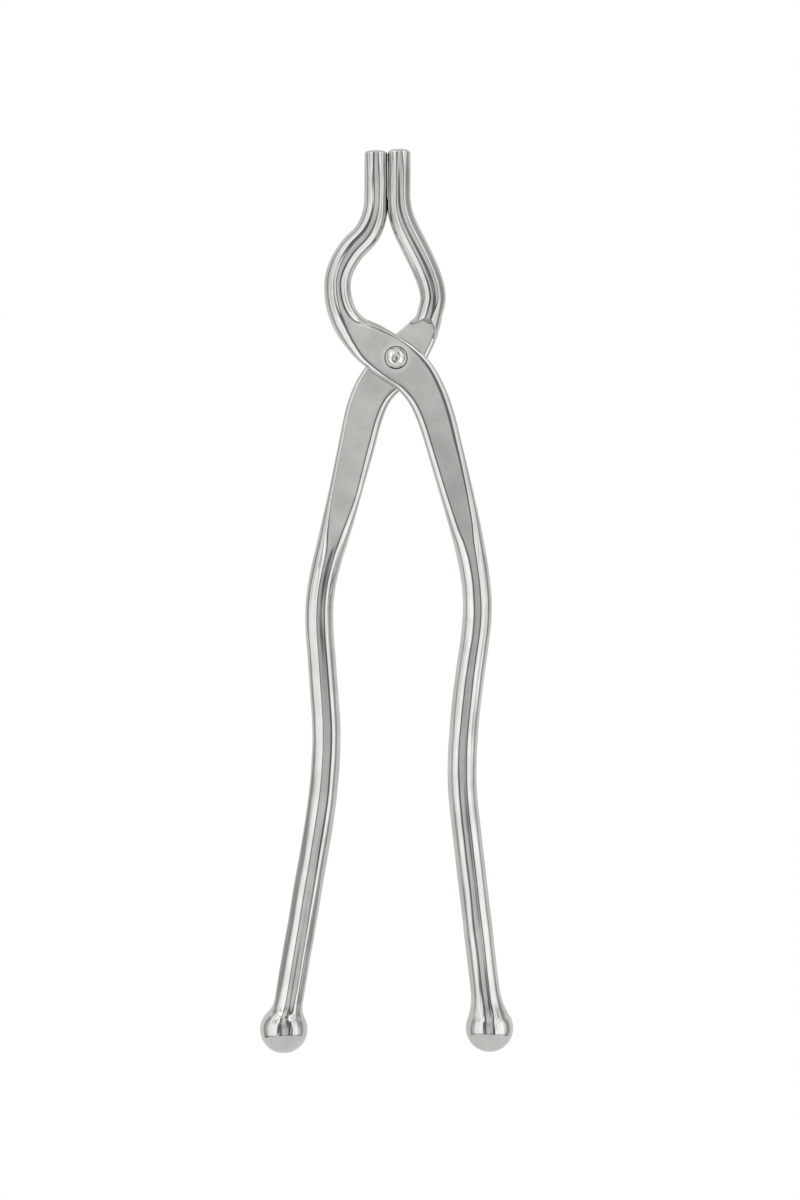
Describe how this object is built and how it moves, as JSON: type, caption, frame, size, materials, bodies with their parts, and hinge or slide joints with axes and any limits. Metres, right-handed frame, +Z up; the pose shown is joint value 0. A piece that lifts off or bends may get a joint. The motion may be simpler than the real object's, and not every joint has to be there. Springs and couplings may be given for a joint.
{
  "type": "crucible tongs",
  "caption": "Scissor-style crucible tongs in polished stainless steel, with bowed jaws, straight parallel tips and ball-ended handles on one rivet.",
  "frame": {"origin": "on the rivet's axis, in the plane of the bench that the rivet's back head and both balls rest on", "axes": "+Y along the tongs towards the jaw tips, +X towards the front arm's handle, +Z up from the bench along the rivet"},
  "size_m": [0.0701, 0.2502, 0.0132],
  "materials": {
    "arm_steel": "forged stainless steel, polished bright",
    "rivet_steel": "polished stainless steel"
  },
  "bodies": {
    "rear_half": {"rear_arm": "arm_steel", "pivot_rivet": "rivet_steel"},
    "front_half": {"front_arm": "arm_steel"}
  },
  "joints": [
    {"name": "jaw_pivot", "type": "hinge", "parent": "rear_half", "child": "front_half", "pos_m": [0, 0, 0.0066], "axis": [0, 0, 1], "range_deg": [0, 48]}
  ]
}
